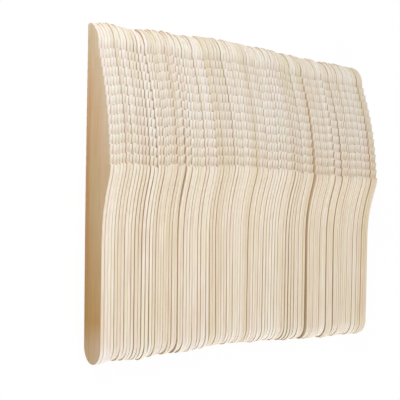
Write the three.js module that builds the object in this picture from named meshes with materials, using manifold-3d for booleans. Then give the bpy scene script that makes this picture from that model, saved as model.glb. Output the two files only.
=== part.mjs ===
import * as THREE from "three";
import { mergeVertices } from "three/addons/utils/BufferGeometryUtils.js";
import Module from "manifold-3d";

// A pack of one hundred disposable birch knives, stacked flat side to flat side. Every knife rests on its
// straight spine with the serrated edge up. X runs through the stack, +Y points to the tips and Z = 0 is
// the surface under the spines. Sizes are in millimetres.

// One knife. Lengths along it count from the tip, and heights from the spine.
const KNIFE_LENGTH = 165;
const KNIFE_THICKNESS = 1.8;
const BLADE_LENGTH = 69.6;
const BLADE_HEIGHT = 22.3;
const NECK_LENGTH = 38.4;
const HANDLE_HEIGHT = 15.2;
const HANDLE_END_HEIGHT = 14.8;
const HANDLE_ROUNDING = 8.5;

// The plain rounded nose ahead of the first tooth, and its small flat at the spine.
const NOSE_LENGTH = 9.3;
const NOSE_HEIGHT = 10;
const NOSE_FLAT_LENGTH = 0.9;
const NOSE_FLAT_HEIGHT = 1.4;

// Saw teeth: each has a long face that sinks towards the handle and a short face that looks at the tip.
const TOOTH_COUNT = 13;
const TOOTH_DEPTH = 0.9;
const TOOTH_SHORT_FACE = 0.4;

// How full each curve is, as shares of the stretch it spans: [along, up] for each of its pulls.
const NOSE_PULL = [0.2, 0.76];
const EDGE_PULLS = [[0.17, 0.17], [0.4, 0.84]];
const NECK_PULLS = [0.2, 0.37];

// Flat steps in each curve: finer on the end bundles, whose sides are open to view.
const END_BUNDLE_STEPS = { nose: 4, neck: 8, handleEnd: 12 };
const INNER_STEPS = { nose: 2, neck: 3, handleEnd: 4 };

// The stack, from the -X end. A bundle is a few knives that lie parallel, and the bundles fan a little
// against each other. Each row gives the knives in a bundle, how far it is pushed towards the tips, how
// unevenly its knives line up, and the gaps before it at the tips and at the handle ends.
const BUNDLES = [
  { knives: 3, push: 0.4, uneven: 0.5, tipGap: 0, endGap: 0 },
  { knives: 7, push: 1.2, uneven: 0.8, tipGap: 0.9, endGap: 0.25 },
  { knives: 1, push: 0.9, uneven: 0, tipGap: 0.45, endGap: 0.6 },
  { knives: 3, push: 0.5, uneven: 0.8, tipGap: 0.1, endGap: 0.8 },
  { knives: 4, push: 1.2, uneven: 0.8, tipGap: 0.1, endGap: 0.1 },
  { knives: 4, push: 1.9, uneven: 0.7, tipGap: 0.1, endGap: 0.1 },
  { knives: 1, push: 1.8, uneven: 0, tipGap: 0.1, endGap: 0.1 },
  { knives: 2, push: 2.0, uneven: 0.7, tipGap: 0.15, endGap: 0.1 },
  { knives: 3, push: 1.9, uneven: 0.8, tipGap: 0.1, endGap: 0.1 },
  { knives: 1, push: 1.7, uneven: 0, tipGap: 0.1, endGap: 0.1 },
  { knives: 3, push: 1.8, uneven: 0.8, tipGap: 0.1, endGap: 0.3 },
  { knives: 3, push: 2.0, uneven: 0.7, tipGap: 0.1, endGap: 0.35 },
  { knives: 2, push: 2.8, uneven: 0.6, tipGap: 0.1, endGap: 0.5 },
  { knives: 4, push: 3.1, uneven: 0.6, tipGap: 0.75, endGap: 0.7 },
  { knives: 8, push: 3.1, uneven: 0.7, tipGap: 0.9, endGap: 0.1 },
  { knives: 4, push: 2.7, uneven: 0.5, tipGap: 0.9, endGap: 0.45 },
  { knives: 4, push: 2.4, uneven: 0.5, tipGap: 0.9, endGap: 0.4 },
  { knives: 4, push: 2.5, uneven: 0.4, tipGap: 0.9, endGap: 0.4 },
  { knives: 2, push: 2.2, uneven: 0.4, tipGap: 0.9, endGap: 0.8 },
  { knives: 1, push: 1.7, uneven: 0, tipGap: 0.9, endGap: 0.8 },
  { knives: 7, push: 1.4, uneven: 0.4, tipGap: 0.45, endGap: 0.8 },
  { knives: 6, push: 0.7, uneven: 0.2, tipGap: 0.1, endGap: 1.9 },
  { knives: 3, push: 1.1, uneven: 0.5, tipGap: 0.1, endGap: 0.3 },
  { knives: 3, push: 0, uneven: 0.2, tipGap: 0.1, endGap: 0.1 },
  { knives: 10, push: 0.5, uneven: 0.2, tipGap: 0.1, endGap: 0.1 },
  { knives: 3, push: 0.1, uneven: 0.2, tipGap: 0.6, endGap: 0.1 },
  { knives: 4, push: 0, uneven: 0.2, tipGap: 0.45, endGap: 0.1 },
];

// Air between neighbours in a bundle, and the step pattern by which they stray from it.
const NEIGHBOUR_GAP = 0.08;
const UNEVEN_STRIDE = 5;
const UNEVEN_CYCLE = 13;

const WOOD_COLOURS = ["#ecdcc2", "#e4d0b0", "#eddfcb", "#e0c9a6", "#e9d5b8"];
const WOOD_ROUGHNESS = 0.78;

const wasm = await Module();
wasm.setup();

// The point at a share of the way along and up from one corner of a stretch to the other.
function between(start, end, along, up) {
  return new THREE.Vector2(
    start.x + (end.x - start.x) * along,
    start.y + (end.y - start.y) * up,
  );
}

// The edge from the nose to the deepest part of the blade, with its saw teeth cut square to the edge.
function toothedEdge(start, end) {
  const edge = new THREE.CubicBezierCurve(
    start,
    between(start, end, ...EDGE_PULLS[0]),
    between(start, end, ...EDGE_PULLS[1]),
    end,
  );
  const shortFace = TOOTH_SHORT_FACE / edge.getLength();
  const points = [start];
  for (let tooth = 1; tooth <= TOOTH_COUNT; tooth++) {
    const crest = tooth / TOOTH_COUNT;
    const foot = crest - shortFace;
    const tangent = edge.getTangentAt(foot);
    const inward = new THREE.Vector2(tangent.y, -tangent.x);
    points.push(edge.getPointAt(foot).addScaledVector(inward, TOOTH_DEPTH));
    points.push(edge.getPointAt(crest));
  }
  return points;
}

// The outline of a knife, from the spine's corner at the tip round over the edge to the spine's other end.
function knifeOutline(steps) {
  const noseFlat = new THREE.Vector2(0, NOSE_FLAT_HEIGHT);
  const noseEnd = new THREE.Vector2(NOSE_LENGTH, NOSE_HEIGHT);
  const belly = new THREE.Vector2(BLADE_LENGTH, BLADE_HEIGHT);
  const neckEnd = new THREE.Vector2(BLADE_LENGTH + NECK_LENGTH, HANDLE_HEIGHT);
  const nose = new THREE.QuadraticBezierCurve(
    noseFlat,
    between(noseFlat, noseEnd, ...NOSE_PULL),
    noseEnd,
  );
  const neck = new THREE.CubicBezierCurve(
    belly,
    between(belly, neckEnd, NECK_PULLS[0], 0),
    between(belly, neckEnd, NECK_PULLS[1], 1),
    neckEnd,
  );
  const handleEnd = new THREE.EllipseCurve(
    KNIFE_LENGTH - HANDLE_ROUNDING,
    HANDLE_END_HEIGHT / 2,
    HANDLE_ROUNDING,
    HANDLE_END_HEIGHT / 2,
    Math.PI / 2,
    -Math.PI / 2,
    true,
  );
  return [
    new THREE.Vector2(NOSE_FLAT_LENGTH, 0),
    ...nose.getPoints(steps.nose).slice(0, -1),
    ...toothedEdge(noseEnd, belly),
    ...neck.getPoints(steps.neck).slice(1),
    ...handleEnd.getPoints(steps.handleEnd),
  ];
}

// A knife whose -X side is at x = 0, centred along Y, with its tip towards +Y.
function knifeGeometry(steps) {
  const fromTip = knifeOutline(steps);
  const toTheTip = fromTip.map((p) => new THREE.Vector2(KNIFE_LENGTH / 2 - p.x, p.y));
  const geometry = new THREE.ExtrudeGeometry(new THREE.Shape(toTheTip), {
    depth: KNIFE_THICKNESS,
    bevelEnabled: false,
  });
  return geometry.applyMatrix4(
    new THREE.Matrix4().makeBasis(
      new THREE.Vector3(0, 1, 0),
      new THREE.Vector3(0, 0, 1),
      new THREE.Vector3(1, 0, 0),
    ),
  );
}

function solidOf(geometry) {
  const plain = geometry.clone();
  plain.deleteAttribute("normal");
  plain.deleteAttribute("uv");
  const merged = mergeVertices(plain);
  return new wasm.Manifold(
    new wasm.Mesh({
      numProp: 3,
      vertProperties: merged.attributes.position.array,
      triVerts: new Uint32Array(merged.index.array),
    }),
  );
}

function geometryOf(solid) {
  const mesh = solid.getMesh();
  const geometry = new THREE.BufferGeometry();
  geometry.setAttribute("position", new THREE.BufferAttribute(mesh.vertProperties, 3));
  geometry.setIndex(new THREE.BufferAttribute(mesh.triVerts, 1));
  geometry.computeVertexNormals();
  return geometry;
}

const endBundleKnife = knifeGeometry(END_BUNDLE_STEPS);
const innerKnife = knifeGeometry(INNER_STEPS);

// Two knives pressed flat against each other, the second pushed by its own amount towards the tips.
function pairGeometry(firstPush, secondPush) {
  const first = innerKnife.clone().translate(0, firstPush, 0);
  const second = innerKnife.clone().translate(KNIFE_THICKNESS, secondPush, 0);
  return geometryOf(solidOf(first).add(solidOf(second)));
}

// How far towards the tips one knife lies: its bundle's push, and a stray that differs from its neighbours'.
function pushOf(bundle, index) {
  const step = (index * UNEVEN_STRIDE) % UNEVEN_CYCLE;
  return bundle.push + bundle.uneven * (step / (UNEVEN_CYCLE - 1) - 0.5);
}

function woodMaterial(index) {
  return new THREE.MeshStandardMaterial({
    color: WOOD_COLOURS[index % WOOD_COLOURS.length],
    roughness: WOOD_ROUGHNESS,
    metalness: 0,
  });
}

function numbered(index) {
  return String(index + 1).padStart(3, "0");
}

// Lays one bundle out along its own X axis and returns how thick it is. The knives of the two end bundles
// stay apart. Elsewhere neighbours are pressed into pairs, and an odd last knife is single.
function fillBundle(group, bundle, firstIndex, atAnEnd) {
  const single = atAnEnd ? endBundleKnife : innerKnife;
  let x = 0;
  let placed = 0;
  while (placed < bundle.knives) {
    const index = firstIndex + placed;
    const paired = !atAnEnd && placed + 1 < bundle.knives;
    const geometry = paired
      ? pairGeometry(pushOf(bundle, index), pushOf(bundle, index + 1))
      : single.clone().translate(0, pushOf(bundle, index), 0);
    const mesh = new THREE.Mesh(geometry, woodMaterial(index));
    mesh.name = paired ? `knives_${numbered(index)}_${numbered(index + 1)}` : `knife_${numbered(index)}`;
    mesh.position.x = x;
    group.add(mesh);
    placed += paired ? 2 : 1;
    x += KNIFE_THICKNESS * (paired ? 2 : 1) + NEIGHBOUR_GAP;
  }
  return x - NEIGHBOUR_GAP;
}

// Sets the bundles side by side. Each one turns about Z, so that it keeps its gap at the tips and at the
// handle ends.
function stack() {
  const row = new THREE.Group();
  let tipX = 0;
  let endX = 0;
  let index = 0;
  BUNDLES.forEach((bundle, number) => {
    tipX += bundle.tipGap;
    endX += bundle.endGap;
    const group = new THREE.Group();
    const fan = Math.atan2(tipX - endX, KNIFE_LENGTH);
    const atAnEnd = number === 0 || number === BUNDLES.length - 1;
    const across = fillBundle(group, bundle, index, atAnEnd) / Math.cos(fan);
    group.position.x = (tipX + endX) / 2;
    group.rotation.z = -fan;
    row.add(group);
    tipX += across;
    endX += across;
    index += bundle.knives;
  });
  return row;
}

// The origin is under the middle of the whole stack.
const row = stack();
const middle = new THREE.Box3().setFromObject(row).getCenter(new THREE.Vector3());
row.position.set(-middle.x, -middle.y, 0);

const pack = new THREE.Group();
pack.add(row);

export default pack;
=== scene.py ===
import bpy
import numpy as np
from mathutils import Matrix, Vector


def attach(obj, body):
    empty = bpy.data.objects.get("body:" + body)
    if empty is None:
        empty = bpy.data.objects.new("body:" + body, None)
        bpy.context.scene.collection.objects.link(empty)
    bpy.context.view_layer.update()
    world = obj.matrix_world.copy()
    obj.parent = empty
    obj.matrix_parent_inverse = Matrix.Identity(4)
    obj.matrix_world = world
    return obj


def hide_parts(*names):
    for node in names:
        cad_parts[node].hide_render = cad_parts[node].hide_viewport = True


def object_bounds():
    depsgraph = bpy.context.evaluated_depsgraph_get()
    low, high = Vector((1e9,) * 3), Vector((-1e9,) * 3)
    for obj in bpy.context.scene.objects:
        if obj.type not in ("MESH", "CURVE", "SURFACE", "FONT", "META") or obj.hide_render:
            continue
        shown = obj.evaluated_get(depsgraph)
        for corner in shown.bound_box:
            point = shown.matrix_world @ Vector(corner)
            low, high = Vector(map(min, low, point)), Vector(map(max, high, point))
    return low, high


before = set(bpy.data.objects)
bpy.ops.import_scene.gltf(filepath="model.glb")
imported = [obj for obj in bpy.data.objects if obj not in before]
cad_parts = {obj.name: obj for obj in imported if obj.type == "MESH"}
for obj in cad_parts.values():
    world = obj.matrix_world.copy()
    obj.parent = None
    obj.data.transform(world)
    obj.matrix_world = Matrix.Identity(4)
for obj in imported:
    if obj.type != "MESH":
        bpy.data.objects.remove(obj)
cad_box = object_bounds()

# The camera stands beyond the first knife and looks down along the row, so that the tips point up in the
# picture. It turns a trace about its own axis, and its frame is shifted by a few pixels.
CAMERA_PLACE = Vector((-0.31946, -0.00867, 0.35771))
CAMERA_TARGET = Vector((-0.02712, -0.00690, 0.0))
CAMERA_ROLL = np.radians(0.707)
CAMERA_LENS = 77.56
CAMERA_SHIFT = (0.0099, 0.0146)

forward = (CAMERA_TARGET - CAMERA_PLACE).normalized()
right = forward.cross(Vector((0, 1, 0))).normalized()
up = right.cross(forward)
camera_data = bpy.data.cameras.new("camera")
camera_data.lens = CAMERA_LENS
camera_data.shift_x, camera_data.shift_y = CAMERA_SHIFT
camera = bpy.data.objects.new("camera", camera_data)
camera.matrix_world = (
    Matrix.Translation(CAMERA_PLACE)
    @ Matrix((right, up, -forward)).transposed().to_4x4()
    @ Matrix.Rotation(CAMERA_ROLL, 4, "Z")
)
bpy.context.scene.collection.objects.link(camera)
bpy.context.scene.camera = camera

# The knives. Each is stamped from birch veneer and tumbled, which rounds its edges. Its outline has a plain
# nose, thirteen saw teeth, a deep belly, an S-shaped neck and an elliptical handle end. Lengths are in
# millimetres from the tip, and heights from the spine.
MM = 0.001
KNIFE_LENGTH = 165.0
BLADE_LENGTH, BLADE_HEIGHT = 69.6, 22.3
NECK_END, HANDLE_HEIGHT, HANDLE_END_HEIGHT = 108.0, 15.2, 14.8
HANDLE_ROUNDING = 8.5
NOSE_LENGTH, NOSE_HEIGHT = 9.3, 10.0
NOSE_FLAT_LENGTH, NOSE_FLAT_HEIGHT = 0.9, 1.4
TOOTH_COUNT, TOOTH_DEPTH, TOOTH_SHORT_FACE = 13, 0.9, 0.4
NOSE_PULL = (0.2, 0.76)
EDGE_PULLS = ((0.17, 0.17), (0.4, 0.84))
NECK_PULLS = ((0.2, 0.0), (0.37, 1.0))
RECESS_PLACES = np.array([0, 0.05, 0.3, 0.6, 0.85, 1])
RECESS_DEPTHS = np.array([0, 0.1, 0.42, 0.75, 0.95, 1])
FINE_POINTS, NOSE_POINTS, NECK_POINTS, HANDLE_POINTS, END_POINTS = 400, 8, 15, 8, 10


def stretch(start, end, pulls, t):
    """A Bezier curve from start to end. Each pull is a share of the way along and up from start to end. The
    point at t is the sum of the corner points, each times its Bernstein weight."""
    start, end = np.array(start, float), np.array(end, float)
    corners = [start, *(start + (end - start) * np.array(p) for p in pulls), end]
    weights = {3: [1, 2, 1], 4: [1, 3, 3, 1]}[len(corners)]
    last = len(corners) - 1
    t = np.asarray(t, float)[:, None]
    return sum(w * t**i * (1 - t) ** (last - i) * c for i, (w, c) in enumerate(zip(weights, corners)))


def even_steps(line, shares):
    """Points of a fine polyline at shares of its length: the length so far is summed, and both coordinates
    are read off it."""
    so_far = np.concatenate([[0], np.cumsum(np.linalg.norm(np.diff(line, axis=0), axis=1))])
    return np.stack([np.interp(np.asarray(shares) * so_far[-1], so_far, line[:, k]) for k in (0, 1)], 1)


def inward(line, side):
    """The direction into the material at each point of a line: square to the way from the point before to
    the point after, on the given side, and straight along the knife at both ends."""
    ahead = np.gradient(line, axis=0)
    ahead /= np.linalg.norm(ahead, axis=1)[:, None]
    square = side * np.stack([-ahead[:, 1], ahead[:, 0]], 1)
    square[0], square[-1] = (1, 0), (-1, 0)
    return square


def outline():
    """The upper and the lower line of a knife, from the tip to the handle end, as equally long arrays of
    points, with the inward direction at each. The inward direction is square to the line without its teeth.
    The last array says how deep in a tooth's recess each upper point lies, from 0 to 1."""
    fine = np.linspace(0, 1, FINE_POINTS)
    nose_flat, nose_end = (0.0, NOSE_FLAT_HEIGHT), (NOSE_LENGTH, NOSE_HEIGHT)
    belly, neck_end = (BLADE_LENGTH, BLADE_HEIGHT), (NECK_END, HANDLE_HEIGHT)
    end_centre = np.array([KNIFE_LENGTH - HANDLE_ROUNDING, HANDLE_END_HEIGHT / 2])
    tip = np.array([[NOSE_FLAT_LENGTH / 2, NOSE_FLAT_HEIGHT / 2]])

    nose_shares = np.linspace(0, 1, NOSE_POINTS + 1)[:-1]
    nose = even_steps(stretch(nose_flat, nose_end, [NOSE_PULL], fine), nose_shares)
    edge = stretch(nose_end, belly, EDGE_PULLS, fine)
    edge_length = np.linalg.norm(np.diff(edge, axis=0), axis=1).sum()
    foot = 1 - TOOTH_SHORT_FACE * TOOTH_COUNT / edge_length
    tooth_shares = (np.arange(TOOTH_COUNT)[:, None] + RECESS_PLACES * foot).ravel() / TOOTH_COUNT
    teeth = even_steps(edge, tooth_shares)
    neck = stretch(belly, neck_end, NECK_PULLS, np.linspace(0, 1, NECK_POINTS))
    handle = np.linspace(neck[-1], end_centre + (0, HANDLE_END_HEIGHT / 2), HANDLE_POINTS + 1)[1:]
    turn = np.linspace(0, np.pi / 2, END_POINTS + 1)[1:, None]
    half_end = np.array([HANDLE_ROUNDING, HANDLE_END_HEIGHT / 2])
    end_upper = end_centre + half_end * np.hstack([np.sin(turn), np.cos(turn)])
    end_lower = end_centre + half_end * np.hstack([np.sin(turn), -np.cos(turn)])

    upper = np.vstack([tip, nose, teeth, neck, handle, end_upper])
    in_recess = np.zeros(len(upper))
    in_recess[1 + len(nose):][:len(teeth)] = np.tile(RECESS_DEPTHS, TOOTH_COUNT)
    straight = upper[1:-len(end_upper), 0]
    spine = np.where(
        straight < NOSE_LENGTH,
        NOSE_FLAT_LENGTH + straight * (1 - NOSE_FLAT_LENGTH / NOSE_LENGTH),
        straight,
    )
    lower = np.vstack([tip, np.stack([spine, np.zeros_like(spine)], 1), end_lower])
    into_upper, into_lower = inward(upper, -1), inward(lower, 1)
    upper = upper + into_upper * (in_recess * TOOTH_DEPTH)[:, None]
    return upper, lower, into_upper, into_lower, in_recess


# The section is a thin slab with slightly crowned cut edges. Tumbling wears some knives more than others,
# so their corners come in three radii, and it wears the soft recesses of the teeth most.
KNIFE_THICKNESS = 1.8
CORNER_RADII = (0.06, 0.12, 0.22)
RECESS_WEAR = 0.22
EDGE_CROWN = 0.04
CORNER_STEPS = 3
FLAT_STEPS = 3


def knife_grid(corner_radius):
    """The surface of a knife over two parameters: the column along it and the step round its section. A
    section goes up the first flat side, over the upper edge, down the other side and back under the spine.
    A corner is a quarter circle, and between the corners the cut edge is crowned by a parabola. Gives the
    place along and up, the place across from -1 to 1, the share of cut edge, the depth in a tooth's recess
    and the distance below the upper edge at each point, then the count of columns and of steps."""
    upper, lower, into_upper, into_lower, in_recess = outline()
    turn = np.linspace(0, np.pi / 2, CORNER_STEPS + 1)
    radius = corner_radius + RECESS_WEAR * in_recess[:, None]
    corner_across = 1 - radius / (KNIFE_THICKNESS / 2) * (1 - np.cos(turn))
    corner_in = EDGE_CROWN + radius * (1 - np.sin(turn))
    middle = np.zeros((len(upper), 1))
    across = np.hstack([-corner_across, middle, corner_across[:, ::-1]])
    inset = np.hstack([corner_in, middle, corner_in[:, ::-1]])
    over = upper[:, None] + into_upper[:, None] * inset[:, :, None]
    under = lower[:, None] + into_lower[:, None] * inset[:, :, None]
    up_the_side = np.linspace(0, 1, FLAT_STEPS + 1)[1:-1]
    first = under[:, :1] + (over[:, :1] - under[:, :1]) * up_the_side[None, :, None]
    last = over[:, -1:] + (under[:, -1:] - over[:, -1:]) * up_the_side[None, :, None]
    place = np.concatenate([over, last, under[:, ::-1], first], 1)
    flat = np.ones((len(upper), FLAT_STEPS - 1))
    thick = np.hstack([across, flat, across[:, ::-1], -flat])
    on_flat = inset / inset[:, :1]
    cut = 1 - np.hstack([on_flat, flat, on_flat, flat])
    in_tooth = in_recess[:, None] * (np.arange(thick.shape[1]) < across.shape[1])
    below = upper[:, None, 1] - place[:, :, 1]
    values = [place.reshape(-1, 2), *(v.ravel() for v in (thick, cut, in_tooth, below))]
    return values, *thick.shape


grids, column_counts, step_counts = zip(*(knife_grid(radius) for radius in CORNER_RADII))
columns, steps = column_counts[0], step_counts[0]
column, step = np.meshgrid(np.arange(columns - 1), np.arange(steps), indexing="ij")
following = (step + 1) % steps
quads = np.stack([column * steps + step, column * steps + following,
                  (column + 1) * steps + following, (column + 1) * steps + step], -1).reshape(-1, 4)

# Where the upper and the lower line meet, at the tip and at the handle end, points fall together. They are
# merged, and a face between them loses the corners that it holds twice.
points = np.hstack([grids[0][0], grids[0][1][:, None]])
_, kept, shared = np.unique(np.round(points, 5), axis=0, return_index=True, return_inverse=True)
faces = [list(dict.fromkeys(quad)) for quad in shared.ravel()[quads].tolist()]
faces = [face for face in faces if len(face) > 2]
grids = [[values[kept] for values in grid] for grid in grids]


# Each knife stands in its own slot of the frame. A node's flat sides give the direction across the row and
# the middle of each of its knives, and the tip ends of the sides give how far a knife is pushed along.
ON_SIDE = 0.01


def slots(node):
    """The slots that a node holds, from -X to +X: the node's name, the corner of the slot at its tip, the
    direction across and the direction to the tip."""
    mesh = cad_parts[node].data
    points = np.empty(len(mesh.vertices) * 3)
    mesh.vertices.foreach_get("co", points)
    points = points.reshape(-1, 3) / MM
    normals, areas = np.empty(len(mesh.polygons) * 3), np.empty(len(mesh.polygons))
    mesh.polygons.foreach_get("normal", normals)
    mesh.polygons.foreach_get("area", areas)
    across = normals.reshape(-1, 3)[areas.argmax()]
    across = across * np.sign(across[0])
    to_tip = np.array([-across[1], across[0], 0.0])
    depth, length = points @ across, points @ to_tip
    count = round((depth.max() - depth.min()) / KNIFE_THICKNESS)
    found = []
    for i in range(count):
        side = depth.min() if i == 0 else depth.max()
        tip = length[np.abs(depth - side) < ON_SIDE].max()
        middle = depth.min() + KNIFE_THICKNESS * (i + 0.5)
        found.append((node, across * middle + to_tip * tip, across, to_tip))
    return found


row = sorted((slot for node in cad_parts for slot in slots(node)), key=lambda slot: slot[1][0])
knife_count = len(row)

# Veneer differs from leaf to leaf. Each knife has its own thickness, bow, height, place along and tone, and
# knives cut from one leaf lie together in short runs. A sunken run lies lower and lower towards its last
# knife. A leaf run is its first and its last knife, and how much browner these are than the rest.
LEAF_SHARE, LEAF_RUN, HEIGHT_RUN = 0.6, 4, 5
BROWNER_AND_SHADED_ALONG = 0.5
LEAF_RUNS = ((1, 4, -0.9), (8, 9, -0.3), (11, 12, 0.3), (16, 22, 0.5), (28, 35, -0.4), (36, 38, 0.3),
             (42, 47, -0.3), (48, 50, 0.5), (54, 60, -0.5), (63, 66, 0.3), (70, 75, 0.3), (79, 88, -0.4),
             (91, 94, -0.4), (97, 100, 0.6))
TIGHT_THINNING, LOOSE_THINNING = 0.02, 0.09
NOSE_SHARE, NOSE_THINNING = 0.07, 0.2
LOWEST_SHARE, FULL_HEIGHT_KNIVES = 0.97, 3
SUNKEN_RUNS = {12: (1, 0.02), 14: (1, 0.015), 24: (1, 0.035), 31: (2, 0.02), 71: (5, 0.07), 80: (2, 0.025),
               83: (3, 0.045), 97: (1, 0.02)}
WEAR_CHANCES = (0.4, 0.35, 0.25)
OWN_BOW, OWN_BOW_WAVES = 0.05, (0.7, 1.6)
SHARED_BOW, SHARED_BOW_LENGTH, SHARED_BOW_TURN = 0.08, 9.0, 5.0
FACE_BOW, FACE_BOW_REACH = 0.35, 25.0
OWN_PUSH = 0.3
rng = np.random.default_rng(165)


def in_runs(longest):
    """Random numbers from 0 to 1, one for each knife, that stay the same for a run of one to longest."""
    lengths = rng.integers(1, longest + 1, knife_count)
    return np.repeat(rng.random(knife_count), lengths)[:knife_count]


brown = LEAF_SHARE * in_runs(LEAF_RUN) + (1 - LEAF_SHARE) * rng.random(knife_count)
# Towards +X the knives turn browner, partly a drift in the wood's tone and partly painted fall-off of
# light.
brown = np.clip(brown + BROWNER_AND_SHADED_ALONG * np.linspace(-0.5, 0.5, knife_count), 0, 1)
for first, last, browner in LEAF_RUNS:
    brown[first - 1:last] = np.clip(brown[first - 1:last] + browner, 0, 1)
# The cube leaves most knives tight in their rooms.
thinning = TIGHT_THINNING + LOOSE_THINNING * rng.random(knife_count) ** 3
lowness = (1 - LOWEST_SHARE) * (in_runs(HEIGHT_RUN) + rng.random(knife_count)) / 2
wear = rng.choice(len(CORNER_RADII), knife_count, p=WEAR_CHANCES)
bow_phase = rng.random(knife_count) * 2 * np.pi
bow_waves = rng.uniform(*OWN_BOW_WAVES, knife_count)
pushed = rng.uniform(-OWN_PUSH, OWN_PUSH, knife_count)
lowness[-FULL_HEIGHT_KNIVES:] = 0
for last, (count, lower) in SUNKEN_RUNS.items():
    lowness[last - count:last] += lower * np.arange(1, count + 1) / count

# Bowed knives do not stand as evenly as the slots do, and the row opens more in some places. Each entry is
# the knife before an opening, then the opening's middle from the first knife's face and its width, once
# near the tips and once near the handle ends. The knives between two openings share the rest evenly.
NEAR_TIPS, NEAR_ENDS = 26.0, 149.0
OPENINGS = {
    4: (6.9, 0.07, 7.5, 0.32), 5: (8.9, 0.24, 9.4, 0.05), 7: (12.6, 0.14, 13.3, 0.27),
    9: (16.4, 0.14, 17.1, 0.05), 10: (18.4, 0.03, 19.2, 0.45), 11: (20.8, 0.24, 21.6, 0.18),
    12: (22.8, 0.12, 23.5, 0.07), 13: (25.2, 0.07, 25.9, 0.12), 14: (27.4, 0.14, 28.3, 0.3),
    16: (31.3, 0.24, 32.0, 0.32), 19: (35.8, 0.05, 37.0, 0.18), 21: (39.65, 0.17, 40.4, 0.0),
    22: (41.4, 0.07, 42.3, 0.4), 23: (43.1, 0.03, 44.7, 0.27), 24: (44.85, 0.07, 46.4, 0.2),
    26: (48.5, 0.14, 49.8, 0.18), 27: (50.8, 0.17, 51.9, 0.05), 28: (52.6, 0.1, 53.8, 0.0),
    29: (54.3, 0.03, 55.6, 0.32), 31: (57.7, 0.17, 59.3, 0.12), 32: (59.6, 0.1, 61.2, 0.15),
    34: (63.2, 0.07, 64.7, 0.0), 35: (65.0, 0.0, 67.3, 0.12), 37: (68.9, 0.17, 71.6, 0.36),
    39: (72.9, 0.14, 75.3, 0.15), 41: (77.4, 0.14, 79.1, 0.19), 43: (81.7, 0.0, 83.2, 0.19),
    44: (83.6, 0.14, 85.1, 0.04), 49: (93.7, 0.24, 93.8, 0.42), 51: (98.0, 0.1, 97.9, 0.11),
    52: (99.95, 0.14, 99.7, 0.0), 53: (101.8, 0.0, 101.5, 0.11), 55: (105.4, 0.07, 105.0, 0.3),
    57: (109.7, 0.14, 109.5, 0.15), 60: (116.5, 0.07, 116.0, 0.08), 63: (123.1, 0.0, 122.3, 0.22),
    64: (125.2, 0.21, 125.0, 0.45), 65: (127.1, 0.0, 127.1, 0.1), 66: (129.0, 0.35, 129.8, 0.2),
    68: (132.6, 0.0, 133.8, 0.35), 69: (134.8, 0.25, 135.4, 0.0), 71: (139.2, 0.2, 140.3, 0.85),
    77: (150.0, 0.15, 150.8, 0.3), 80: (155.9, 0.15, 157.0, 0.45), 83: (162.2, 0.25, 163.1, 0.5),
    87: (169.3, 0.2, 169.25, 0.0), 90: (174.9, 0.15, 174.4, 0.15), 93: (180.2, 0.0, 179.5, 0.3),
    95: (183.9, 0.15, 183.4, 0.25), 96: (185.8, 0.0, 185.5, 0.15), 97: (187.9, 0.35, 187.6, 0.1),
}
THICKEST, SNUG = 2.0, 0.02


def rooms(openings):
    """The start and the end of each knife's room across the row. Each opening is the knife before it, its
    middle and its width, and between two openings the rooms are equal."""
    starts, ends = [], []
    for (first, middle, width), (last, next_middle, next_width) in zip(openings, openings[1:]):
        bounds = np.linspace(middle + width / 2, next_middle - next_width / 2, last - first + 1)
        starts += list(bounds[:-1])
        ends += list(bounds[1:])
    return np.array(starts), np.array(ends)


row_start, row_end = cad_box[0][0] / MM, cad_box[1][0] / MM
before, after = [(0, 0.0, 0.0)], [(knife_count, row_end - row_start, 0.0)]
tip_rooms = rooms(before + [(knife, *opening[:2]) for knife, opening in OPENINGS.items()] + after)
end_rooms = rooms(before + [(knife, *opening[2:]) for knife, opening in OPENINGS.items()] + after)

# Bare birch veneer, cut round the log, stamped and tumbled. Its flat sides show soft bands and fibres.
# Their tan is partly painted warm shade, with more painted shade towards the handle and painted light near
# the upper edge. The cut edges are creamy and matt, with painted shade in the teeth's recesses and along
# the neck and handle. The fibres are drawn coarser than the real ones, which are too fine to show.
WHITE = "#FFFFFF"
# The bands on the flat sides are real, and their tan is partly painted warm shade.
FLAT_BANDS_AND_SHADE, BAND_STOPS = ("#E8C2AE", "#D5C7A5", "#DABB97", "#D0AC84"), (0.34, 0.46, 0.56, 0.66)
BAND_WIDTH, BAND_LENGTH, BAND_SHIFT = 6.0, 110.0, 40.0
# Painted shade: the flat sides darken and brown towards the handle, the first knife's outer side most.
FLAT_PAINTED_SHADE, INNER_PAINTED_SHADE_SHARE = "#DEBF8A", 0.5
PAINTED_SHADE_PLACES, PAINTED_SHADE_SHARES = (0.0, 0.3, 0.88, 0.94), (0.36, 0.38, 1.0, 0.55)
# Painted light: the flat sides turn paler below the upper edge, which also lightens the shade in the gaps.
FLAT_PAINTED_LIGHT, PAINTED_LIGHT_SHARE, INNER_PAINTED_LIGHT_SHARE = "#E0D7C7", 0.85, 0.5
PAINTED_LIGHT_REACH, PAINTED_LIGHT_FADE = 18.0, 1.5
# Painted shade: the handle cream darkens the cut edge along the neck and handle, less at the handle end,
# and a little at the tip.
EDGE_CREAM, HANDLE_SHADE_CREAM, LEAF_TAN = "#F5F3EF", "#F3EBDD", "#F3ECE0"
HANDLE_SHADE_PLACES, HANDLE_SHADE_SHARES = (0.0, 0.08, 0.3, 0.46, 0.94, 0.98), (0.3, 0.0, 0.0, 1.0, 1.0, 0.1)
TINTS, TINT_STOPS = ("#FBF4F2", WHITE, "#F9F8ED"), (0.36, 0.5, 0.64)
TINT_WIDTH, TINT_LENGTH = 3.0, 45.0
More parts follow.
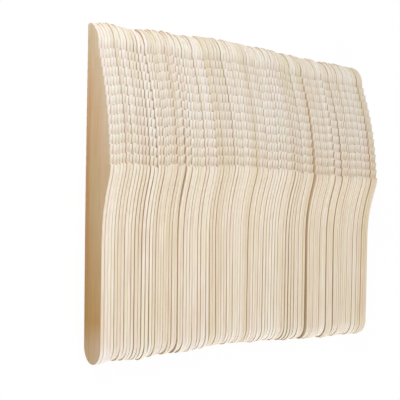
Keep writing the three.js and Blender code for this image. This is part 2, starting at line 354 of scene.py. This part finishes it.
# Painted shade: the cut edge turns brown towards the deep end of each tooth's recess.
PAINTED_RECESS_SHADE, RECESS_SHADE_SHARE = "#BDA486", 0.38
FIBRE_GREY, FIBRE_WIDTH, FIBRE_LENGTH = "#EEEAE4", 0.5, 14.0
FIBRE_BUMP_HEIGHT = 0.1


def linear(colour):
    """An sRGB hex colour as linear light with an alpha of 1."""
    parts = np.array([int(colour[i:i + 2], 16) for i in (1, 3, 5)]) / 255
    return (*np.where(parts <= 0.04045, parts / 12.92, ((parts + 0.055) / 1.055) ** 2.4), 1.0)


def add(tree, kind, inputs, **settings):
    """Adds a node and sets its properties. Each input, by name or number, gets a value or a link from a
    socket."""
    node = tree.nodes.new(kind)
    for name, value in settings.items():
        setattr(node, name, value)
    for name, value in inputs.items():
        if isinstance(value, bpy.types.NodeSocket):
            tree.links.new(value, node.inputs[name])
        else:
            node.inputs[name].default_value = value
    return node


birch = bpy.data.materials.new("tumbled_birch_veneer")
birch.use_nodes = True
tree = birch.node_tree
tree.nodes.clear()
mix, multiply = ({"data_type": "RGBA", "blend_type": way} for way in ("MIX", "MULTIPLY"))
given = {
    name: add(tree, "ShaderNodeAttribute", {}, attribute_name=name).outputs["Fac"]
    for name in ("leaf", "brown", "cut", "recess", "painted_light", "painted_shade", "handle")
}
place = add(tree, "ShaderNodeTexCoord", {}).outputs["Object"]
across_and_along = add(tree, "ShaderNodeMapping", {
    "Vector": place, "Scale": (1 / (BAND_WIDTH * MM), 1 / (BAND_LENGTH * MM), 1 / (BAND_WIDTH * MM))})
leaf_of_bands = add(tree, "ShaderNodeMath", {0: given["leaf"], 1: BAND_SHIFT}, operation="MULTIPLY")
bands = add(tree, "ShaderNodeTexNoise", {
    "Vector": across_and_along.outputs[0], "W": leaf_of_bands.outputs[0], "Scale": 1.0, "Detail": 2.0,
    "Roughness": 0.55}, noise_dimensions="4D")
band_and_shade_colours = add(tree, "ShaderNodeValToRGB", {"Fac": bands.outputs["Fac"]})
# Painted light on the flat sides below the upper edge.
lit_flat_tone = add(tree, "ShaderNodeMix", {
    0: given["painted_light"], 6: band_and_shade_colours.outputs["Color"], 7: linear(FLAT_PAINTED_LIGHT)}, **mix)
# Painted shade on the flat sides, growing towards the handle.
flat_shade = add(tree, "ShaderNodeMix", {
    0: given["painted_shade"], 6: linear(WHITE), 7: linear(FLAT_PAINTED_SHADE)}, **mix)
flat_tone = add(tree, "ShaderNodeMix", {
    0: 1.0, 6: lit_flat_tone.outputs[2], 7: flat_shade.outputs[2]}, **multiply)

# Painted shade: the cut edge turns darker along the neck and handle.
cream = add(tree, "ShaderNodeMix", {
    0: given["handle"], 6: linear(EDGE_CREAM), 7: linear(HANDLE_SHADE_CREAM)}, **mix)
leaf_tone = add(tree, "ShaderNodeMix", {
    0: given["brown"], 6: linear(WHITE), 7: linear(LEAF_TAN)}, **mix)
cream_or_tan = add(tree, "ShaderNodeMix", {
    0: 1.0, 6: cream.outputs[2], 7: leaf_tone.outputs[2]}, **multiply)
tint_place = add(tree, "ShaderNodeMapping", {
    "Vector": place, "Scale": (1 / (TINT_WIDTH * MM), 1 / (TINT_LENGTH * MM), 0.0)})
tint_noise = add(tree, "ShaderNodeTexNoise", {
    "Vector": tint_place.outputs[0], "Scale": 1.0, "Detail": 1.0})
tints = add(tree, "ShaderNodeValToRGB", {"Fac": tint_noise.outputs["Fac"]})
tinted = add(tree, "ShaderNodeMix", {
    0: 1.0, 6: cream_or_tan.outputs[2], 7: tints.outputs["Color"]}, **multiply)
# Painted shade in the recesses: the cut edge is mixed towards brown as the recess deepens.
deep_recess = add(tree, "ShaderNodeMath", {0: given["recess"], 1: 2.0}, operation="POWER")
in_recess = add(tree, "ShaderNodeMath", {0: deep_recess.outputs[0], 1: RECESS_SHADE_SHARE}, operation="MULTIPLY")
edge_tone = add(tree, "ShaderNodeMix", {
    0: in_recess.outputs[0], 6: tinted.outputs[2], 7: linear(PAINTED_RECESS_SHADE)}, **mix)
tone = add(tree, "ShaderNodeMix", {
    0: given["cut"], 6: flat_tone.outputs[2], 7: edge_tone.outputs[2]}, **mix)
for ramp, stops, shades in ((band_and_shade_colours, BAND_STOPS, FLAT_BANDS_AND_SHADE), (tints, TINT_STOPS, TINTS)):
    for at in stops[1:-1]:
        ramp.color_ramp.elements.new(at)
    for stop, at, shade in zip(ramp.color_ramp.elements, stops, shades):
        stop.position, stop.color = at, linear(shade)

fibre_place = add(tree, "ShaderNodeMapping", {
    "Vector": place, "Scale": (1 / (FIBRE_WIDTH * MM), 1 / (FIBRE_LENGTH * MM), 1 / (FIBRE_WIDTH * MM))})
fibres = add(tree, "ShaderNodeTexNoise", {
    "Vector": fibre_place.outputs[0], "W": leaf_of_bands.outputs[0], "Scale": 1.0, "Detail": 3.0,
    "Roughness": 0.55}, noise_dimensions="4D")
streak_share = add(tree, "ShaderNodeMapRange", {
    "Value": fibres.outputs["Fac"], "From Min": 0.3, "From Max": 0.7}, clamp=True)
streaks = add(tree, "ShaderNodeMix", {
    0: streak_share.outputs[0], 6: linear(FIBRE_GREY), 7: linear(WHITE)}, **mix)
colour = add(tree, "ShaderNodeMix", {
    0: 1.0, 6: tone.outputs[2], 7: streaks.outputs[2]}, **multiply)
bump = add(tree, "ShaderNodeBump", {
    "Height": fibres.outputs["Fac"], "Strength": 0.2, "Distance": FIBRE_BUMP_HEIGHT * MM})
surface = add(tree, "ShaderNodeBsdfPrincipled", {
    "Base Color": colour.outputs[2], "Normal": bump.outputs["Normal"], "Roughness": 0.72, "IOR": 1.45,
    "Specular IOR Level": 0.3})
add(tree, "ShaderNodeOutputMaterial", {"Surface": surface.outputs["BSDF"]})

for i, (node, corner, across, to_tip) in enumerate(row):
    plane, thick, cut, recess, below = grids[wear[i]]
    share = plane[:, 0] / KNIFE_LENGTH

    # The knife's own bow and the one shared with its neighbours die out towards both ends of the row. The
    # outermost knives bend their tips and handle ends in towards the row's middle.
    behind, ahead = corner[0] - row_start, row_end - corner[0]
    inner = np.sin(np.pi * behind / (row_end - row_start))
    own_bow = OWN_BOW * inner * np.sin(2 * np.pi * bow_waves[i] * share + bow_phase[i])
    shared_bow = SHARED_BOW * inner * np.sin(corner[0] / SHARED_BOW_LENGTH + SHARED_BOW_TURN * share)
    pull_in = max(0, 1 - behind / FACE_BOW_REACH) - max(0, 1 - ahead / FACE_BOW_REACH)
    face_bow = FACE_BOW * pull_in * (1 - np.sin(np.pi * share))

    # The knife fills its room, less its thinning, and leans from its slot to the room's middle.
    toward_end = (plane[:, 0] - NEAR_TIPS) / (NEAR_ENDS - NEAR_TIPS)
    start, end = (tip_rooms[k][i] + (end_rooms[k][i] - tip_rooms[k][i]) * toward_end for k in (0, 1))
    thinned = thinning[i] * np.clip(share / NOSE_SHARE, NOSE_THINNING, 1)
    thickness = np.minimum(end - start - SNUG, THICKEST) - thinned
    leaning = row_start + (start + end) / 2 - (corner[0] - to_tip[0] * plane[:, 0])
    sideways = own_bow + shared_bow + face_bow + leaning + thick * thickness / 2
    height = plane[:, 1] * (1 - lowness[i])
    most_up = cad_box[1][1] / MM - corner[1]
    most_down = cad_box[0][1] / MM - (corner - to_tip * KNIFE_LENGTH)[1]
    along = plane[:, :1] - np.clip(pushed[i], most_down, most_up)
    place = corner - to_tip * along + across * sideways[:, None] + np.array([0, 0, 1]) * height[:, None]

    # The first knife's outer side gets more painted shade towards the handle and more painted light near
    # the upper edge than the flats inside the row, which show only in the gaps.
    painted_light_share, painted_shade_share = PAINTED_LIGHT_SHARE, 1
    if i > 0:
        painted_light_share, painted_shade_share = INNER_PAINTED_LIGHT_SHARE, INNER_PAINTED_SHADE_SHARE
    values = {
        "cut": cut,
        "recess": recess,
        "painted_light": painted_light_share * np.clip(1 - below / PAINTED_LIGHT_REACH, 0, 1) ** PAINTED_LIGHT_FADE,
        "painted_shade": painted_shade_share * np.interp(share, PAINTED_SHADE_PLACES, PAINTED_SHADE_SHARES),
        "handle": np.interp(share, HANDLE_SHADE_PLACES, HANDLE_SHADE_SHARES),
        "leaf": np.full(len(cut), i / knife_count),
        "brown": np.full(len(cut), brown[i]),
    }
    mesh = bpy.data.meshes.new(f"knife_{i + 1:03d}_veneer")
    mesh.from_pydata(place * MM, [], faces)
    mesh.polygons.foreach_set("use_smooth", np.ones(len(mesh.polygons), bool))
    for name, value in values.items():
        mesh.attributes.new(name, "FLOAT", "POINT").data.foreach_set("value", value.astype(np.float32))
    mesh.materials.append(birch)
    knife = bpy.data.objects.new(mesh.name, mesh)
    bpy.context.scene.collection.objects.link(knife)
    knife.modifiers.new("even_flats", "WEIGHTED_NORMAL")
    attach(knife, "root")
    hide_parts(node)

# The floor is a wide pale board. What the camera sees of it is close to white, and the shadow of the row
# stays on it.
FLOOR_SIZE = 4.0
FLOOR_COLOUR = "#EDEBE7"
FLOOR_WHITE_SHARE = 0.93

floor_mesh = bpy.data.meshes.new("floor")
half = FLOOR_SIZE / 2
floor_mesh.from_pydata(
    [(-half, -half, 0), (half, -half, 0), (half, half, 0), (-half, half, 0)], [], [(0, 1, 2, 3)])
floor = bpy.data.objects.new("floor", floor_mesh)
bpy.context.scene.collection.objects.link(floor)
board = bpy.data.materials.new("matt_painted_board")
board.use_nodes = True
tree = board.node_tree
tree.nodes.clear()
path = add(tree, "ShaderNodeLightPath", {})
seen = add(tree, "ShaderNodeMath", {
    0: path.outputs["Is Camera Ray"], 1: path.outputs["Is Glossy Ray"]}, operation="MAXIMUM")
seen = add(tree, "ShaderNodeMath", {
    0: seen.outputs[0], 1: path.outputs["Is Transmission Ray"]}, operation="MAXIMUM")
white_share = add(tree, "ShaderNodeMath", {0: seen.outputs[0], 1: FLOOR_WHITE_SHARE}, operation="MULTIPLY")
floor_tone = add(tree, "ShaderNodeMix", {
    0: seen.outputs[0], 6: linear(FLOOR_COLOUR), 7: linear(WHITE)}, **mix)
paint = add(tree, "ShaderNodeBsdfDiffuse", {"Color": floor_tone.outputs[2]})
white = add(tree, "ShaderNodeEmission", {"Strength": 1.0, "Color": linear(WHITE)})
both = add(tree, "ShaderNodeMixShader", {
    0: white_share.outputs[0], 1: paint.outputs[0], 2: white.outputs[0]})
add(tree, "ShaderNodeOutputMaterial", {"Surface": both.outputs[0]})
floor_mesh.materials.append(board)

# A large soft lamp hangs over the row. A smaller one stands beyond the first knives' tips, and a wide weak
# one before the handle ends, and a pale room fills the rest. The first flat side lies in half shade.
LAMP_TARGET = Vector((-0.04, 0.0, 0.0))
LAMPS = {
    "overhead": {"place": (0.03, 0.10, 0.80), "size": 0.6, "watts": 2.5},
    "key": {"place": (-0.33, 0.34, 0.30), "size": 0.25, "watts": 1.5},
    "front_fill": {"place": (0.03, -0.60, 0.11), "size": 0.5, "watts": 2.7},
}
ROOM_COLOUR, ROOM_STRENGTH = "#FAFBFF", 0.38

for name, lamp in LAMPS.items():
    data = bpy.data.lights.new(name, "AREA")
    data.shape = "DISK"
    data.size, data.energy = lamp["size"], lamp["watts"]
    light = bpy.data.objects.new(name, data)
    light.location = lamp["place"]
    light.rotation_mode = "QUATERNION"
    light.rotation_quaternion = (LAMP_TARGET - light.location).to_track_quat("-Z", "Y")
    bpy.context.scene.collection.objects.link(light)

world = bpy.data.worlds.new("room")
bpy.context.scene.world = world
world.use_nodes = True
tree = world.node_tree
tree.nodes.clear()
path = add(tree, "ShaderNodeLightPath", {})
room = add(tree, "ShaderNodeBackground", {"Strength": ROOM_STRENGTH, "Color": linear(ROOM_COLOUR)})
white = add(tree, "ShaderNodeBackground", {"Strength": 1.0, "Color": linear(WHITE)})
both = add(tree, "ShaderNodeMixShader", {
    0: path.outputs["Is Camera Ray"], 1: room.outputs[0], 2: white.outputs[0]})
add(tree, "ShaderNodeOutputWorld", {"Surface": both.outputs[0]})
bpy.context.scene.view_settings.view_transform = "Standard"
